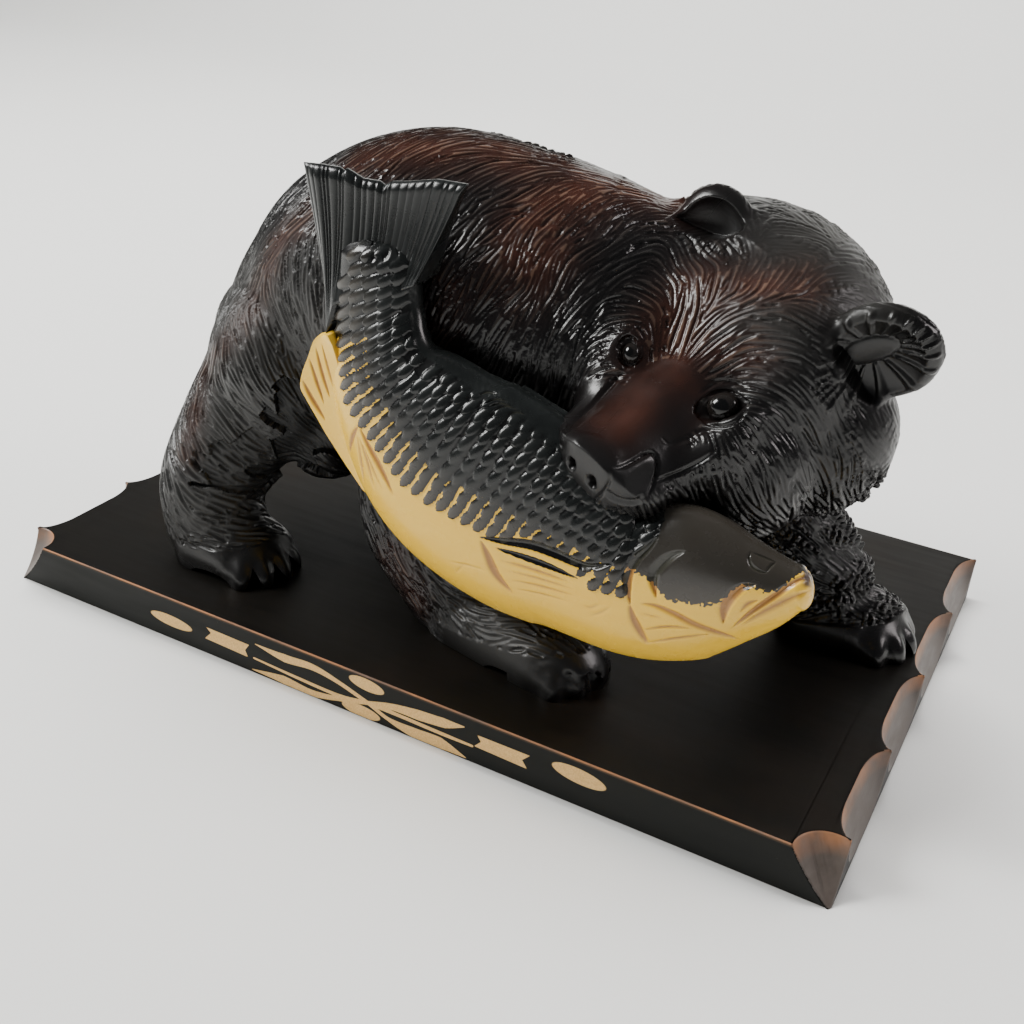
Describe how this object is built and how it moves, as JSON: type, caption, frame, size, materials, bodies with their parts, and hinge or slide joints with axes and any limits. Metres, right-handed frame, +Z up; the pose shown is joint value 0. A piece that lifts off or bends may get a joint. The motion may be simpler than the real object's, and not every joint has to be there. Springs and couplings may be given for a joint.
{
  "type": "carved wooden bear with salmon on plinth",
  "caption": "Carved wooden bear walking with a salmon held across its jaws, glued by its feet to a rectangular plinth with gouged ends and a stencilled front edge.",
  "frame": {"origin": "middle of the plinth's underside", "axes": "+X along the plinth's length, the way the bear walks; +Y to the back, away from the salmon; +Z up"},
  "size_m": [0.4, 0.245, 0.2202],
  "materials": {
    "black_lacquer": "glossy black lacquer over carved wood",
    "dark_plinth_wood": "satin dark brown stain"
  },
  "bodies": {
    "root": {"bear_with_salmon": "black_lacquer", "plinth": "dark_plinth_wood"}
  },
  "joints": []
}
